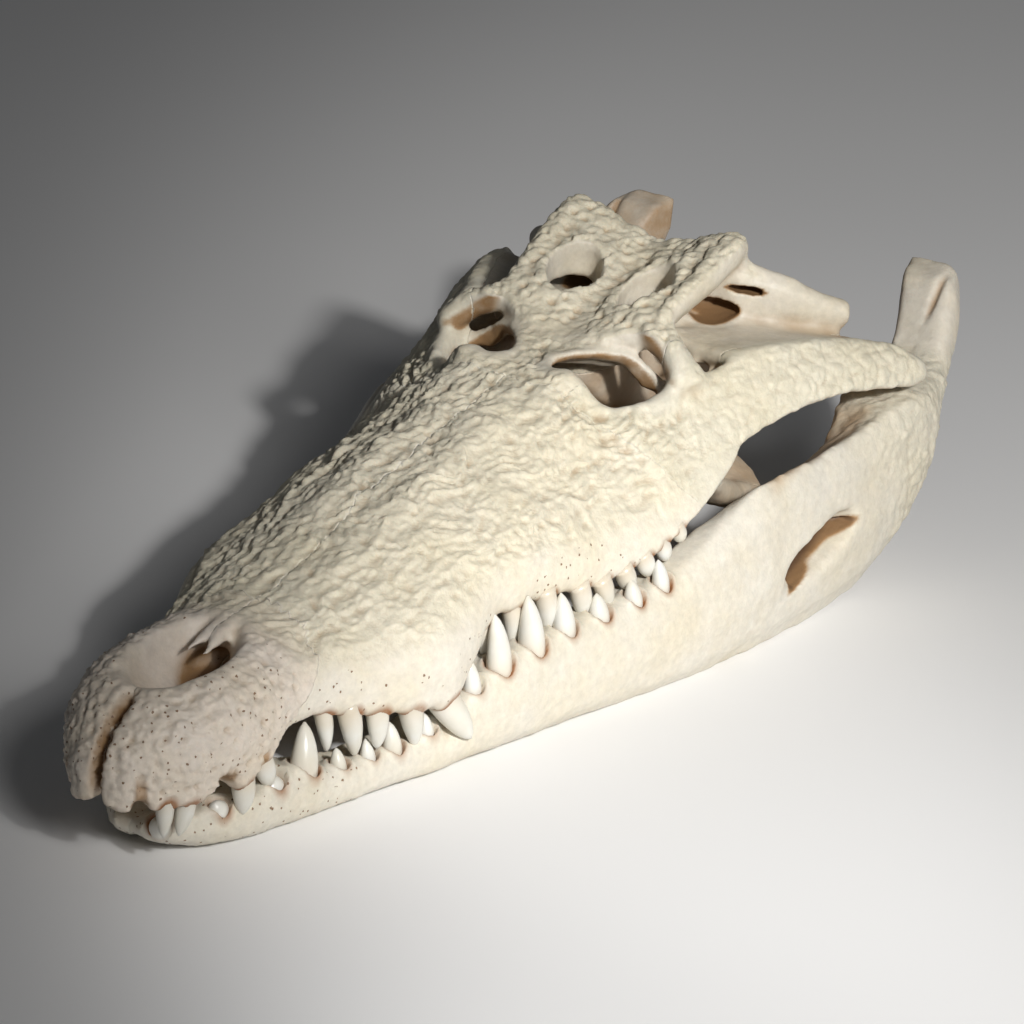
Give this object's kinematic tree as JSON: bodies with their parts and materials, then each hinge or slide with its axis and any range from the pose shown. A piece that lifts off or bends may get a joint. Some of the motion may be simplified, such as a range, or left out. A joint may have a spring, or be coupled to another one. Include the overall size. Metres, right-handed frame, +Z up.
{
  "type": "crocodile skull",
  "caption": "Life-size crocodile skull with closed toothed jaws, open nostril, eye and temple openings, lying on its lower jaw.",
  "frame": {"origin": "centre of the skull's box on the floor it rests on", "axes": "+Y from the snout tip back to the jaw ends, +Z up, +X towards the skull's own left side"},
  "size_m": [0.256, 0.6361, 0.1767],
  "materials": {
    "premaxilla_left_bone": "dry bone, satin",
    "premaxilla_right_bone": "dry bone, satin",
    "maxilla_left_bone": "dry bone, matte",
    "maxilla_right_bone": "dry bone, matte",
    "cheek_left_bone": "dry bone, pitted",
    "cheek_right_bone": "dry bone, pitted",
    "skull_roof_bone": "dry bone, pitted",
    "braincase_bone": "dry bone, stained",
    "palate_bone": "dry bone, smooth",
    "mandible_left_bone": "dry bone, matte",
    "mandible_right_bone": "dry bone, matte"
  },
  "bodies": {
    "root": {"premaxilla_left": "premaxilla_left_bone", "premaxilla_right": "premaxilla_right_bone", "maxilla_left": "maxilla_left_bone", "maxilla_right": "maxilla_right_bone", "cheek_left": "cheek_left_bone", "cheek_right": "cheek_right_bone", "skull_roof": "skull_roof_bone", "braincase": "braincase_bone", "palate": "palate_bone", "mandible_left": "mandible_left_bone", "mandible_right": "mandible_right_bone"}
  },
  "joints": []
}
